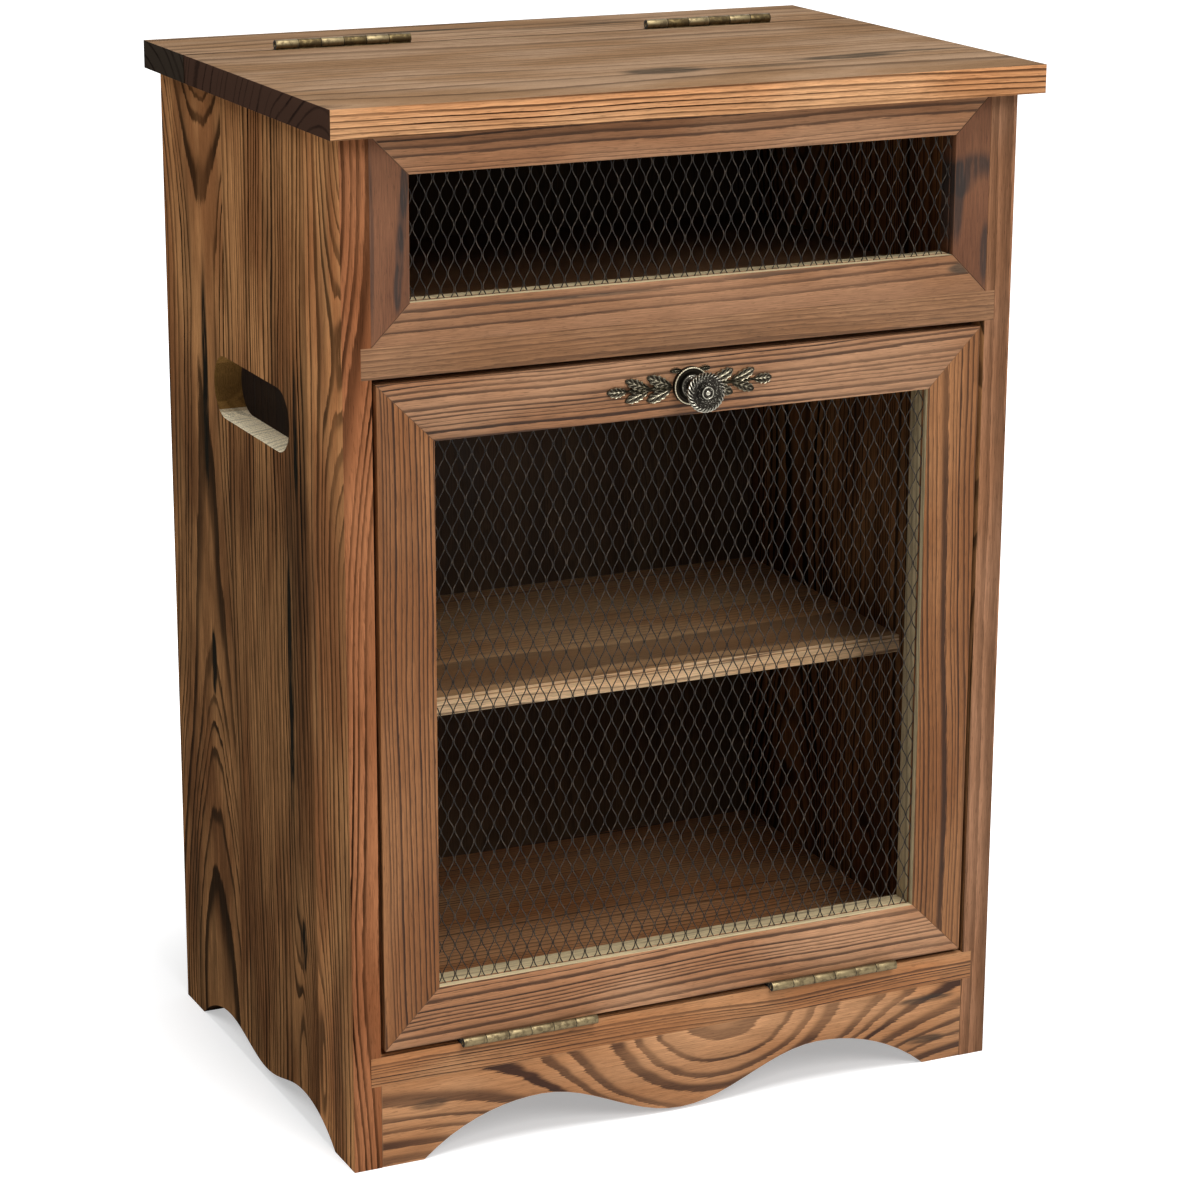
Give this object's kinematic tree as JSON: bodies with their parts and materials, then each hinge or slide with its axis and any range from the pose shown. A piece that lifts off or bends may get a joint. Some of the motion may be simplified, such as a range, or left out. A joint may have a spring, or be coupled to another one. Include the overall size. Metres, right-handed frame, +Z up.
{
  "type": "tilt-out vegetable bin cabinet",
  "caption": "Small standing wooden cabinet with a hinged lid over a top bin, a netted window, a netted door that tilts out at its foot, inner tiers and hand slots.",
  "frame": {"origin": "on the ground, in the middle of the whole width and of the whole depth from the knob's face to the back panel", "axes": "+Z up, front faces -Y, +X to the right of someone who faces the door"},
  "size_m": [0.4, 0.289, 0.5652],
  "materials": {
    "side_wood": "dark heat-browned softwood, satin",
    "front_wood": "brown softwood with dark grain lines, satin",
    "top_wood": "greyish brown softwood with long grain lines, satin",
    "frame_wood": "brown softwood with close dark grain lines, satin",
    "shelf_wood": "pale brown softwood, matt",
    "back_ply": "bare plywood, matt",
    "net_wire": "dark brown painted expanded metal, satin",
    "hinge_brass": "antique brass, worn bright on the barrels",
    "knob_bronze": "antique bronze, dark in the hollows and bright on the edges",
    "bright_steel": "zinc-plated steel",
    "catch_plastic": "brown moulded plastic"
  },
  "bodies": {
    "cabinet": {"side_left": "side_wood", "side_right": "side_wood", "back_panel": "back_ply", "floor_board": "front_wood", "divider_board": "front_wood", "shelf_board": "shelf_wood", "apron_front": "front_wood", "top_strip": "top_wood", "strip_dowels": "shelf_wood", "back_brads": "bright_steel", "window_rail_top": "frame_wood", "window_rail_bottom": "frame_wood", "window_stile_left": "frame_wood", "window_stile_right": "frame_wood", "window_net": "net_wire", "catch_case": "catch_plastic", "catch_magnet": "bright_steel", "catch_screws": "bright_steel", "strip_leaf_left": "hinge_brass", "strip_leaf_right": "hinge_brass", "strip_leaf_screws": "hinge_brass", "lid_pin_left": "hinge_brass", "lid_pin_right": "hinge_brass", "floor_leaf_left": "hinge_brass", "floor_leaf_right": "hinge_brass", "floor_leaf_screws": "hinge_brass", "door_pin_left": "hinge_brass", "door_pin_right": "hinge_brass"},
    "lid": {"lid_board": "top_wood", "lid_leaf_left": "hinge_brass", "lid_leaf_right": "hinge_brass", "lid_leaf_screws": "hinge_brass"},
    "door": {"door_rail_top": "frame_wood", "door_rail_bottom": "frame_wood", "door_stile_left": "frame_wood", "door_stile_right": "frame_wood", "door_net": "net_wire", "door_leaf_left": "hinge_brass", "door_leaf_right": "hinge_brass", "door_leaf_screws": "hinge_brass", "door_knob": "knob_bronze", "knob_plate": "knob_bronze", "knob_screw": "bright_steel", "strike_plate": "bright_steel", "strike_screws": "bright_steel"}
  },
  "joints": [
    {"name": "lid_hinge", "type": "hinge", "parent": "cabinet", "child": "lid", "pos_m": [0, 0.0777, 0.5627], "axis": [-1, 0, 0], "range_deg": [0, 180]},
    {"name": "door_hinge", "type": "hinge", "parent": "cabinet", "child": "door", "pos_m": [0, -0.1252, 0.0639], "axis": [1, 0, 0], "range_deg": [0, 90]}
  ]
}
